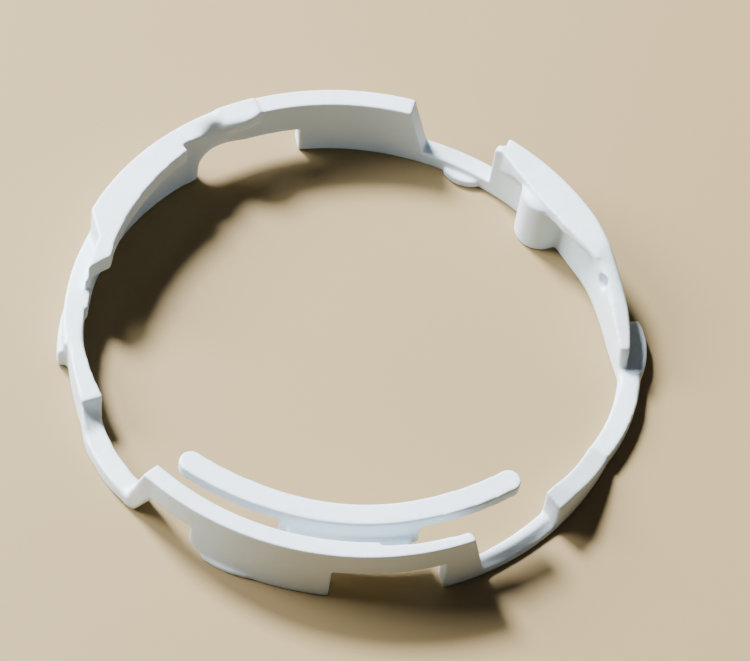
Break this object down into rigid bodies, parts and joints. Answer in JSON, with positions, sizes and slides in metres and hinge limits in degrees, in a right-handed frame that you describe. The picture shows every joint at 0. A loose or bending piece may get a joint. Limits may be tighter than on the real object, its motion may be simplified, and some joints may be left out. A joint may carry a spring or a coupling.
{
  "type": "slotted snap ring",
  "caption": "White plastic snap ring with stepped walls and low bands, a cam ramp, a locating boss and a springy inner rail.",
  "frame": {"origin": "on the ring's axis, in the plane that the ring rests on", "axes": "+Z along the ring's axis, up from the resting face; -Y towards the front wall that carries the inner rail"},
  "size_m": [0.0289, 0.028, 0.0037],
  "materials": {
    "white_moulding": "satin, slightly translucent natural white"
  },
  "bodies": {
    "ring": {"stop_wall": "white_moulding", "stop_lip": "white_moulding", "lip_bracket": "white_moulding", "left_band": "white_moulding", "left_shoulder": "white_moulding", "left_lug": "white_moulding", "saddle": "white_moulding", "landing": "white_moulding", "corner_strut": "white_moulding", "front_overhang": "white_moulding", "front_block": "white_moulding", "front_beam": "white_moulding", "front_pillar": "white_moulding", "front_band": "white_moulding", "cam_ramp": "white_moulding", "right_band": "white_moulding", "falling_wall": "white_moulding", "right_lug": "white_moulding", "right_wall": "white_moulding", "wall_lip": "white_moulding", "locating_boss": "white_moulding", "back_band": "white_moulding", "gate_stub": "white_moulding", "back_wall": "white_moulding", "window_beam": "white_moulding", "grip_tab": "white_moulding", "scallop": "white_moulding", "neck": "white_moulding", "rail_hub": "white_moulding", "rail_web": "white_moulding"},
    "left_arm": {"rail_arm_left": "white_moulding"},
    "right_arm": {"rail_arm_right": "white_moulding"}
  },
  "joints": [
    {"name": "left_arm_flex", "type": "hinge", "parent": "ring", "child": "left_arm", "pos_m": [-0.00162, -0.01151, 0], "axis": [0, 0, 1], "range_deg": [-5, 5], "stiffness_Nm_per_rad": 0.12},
    {"name": "right_arm_flex", "type": "hinge", "parent": "ring", "child": "right_arm", "pos_m": [0.00473, -0.01062, 0], "axis": [0, 0, -1], "range_deg": [-5, 5], "stiffness_Nm_per_rad": 0.12}
  ]
}
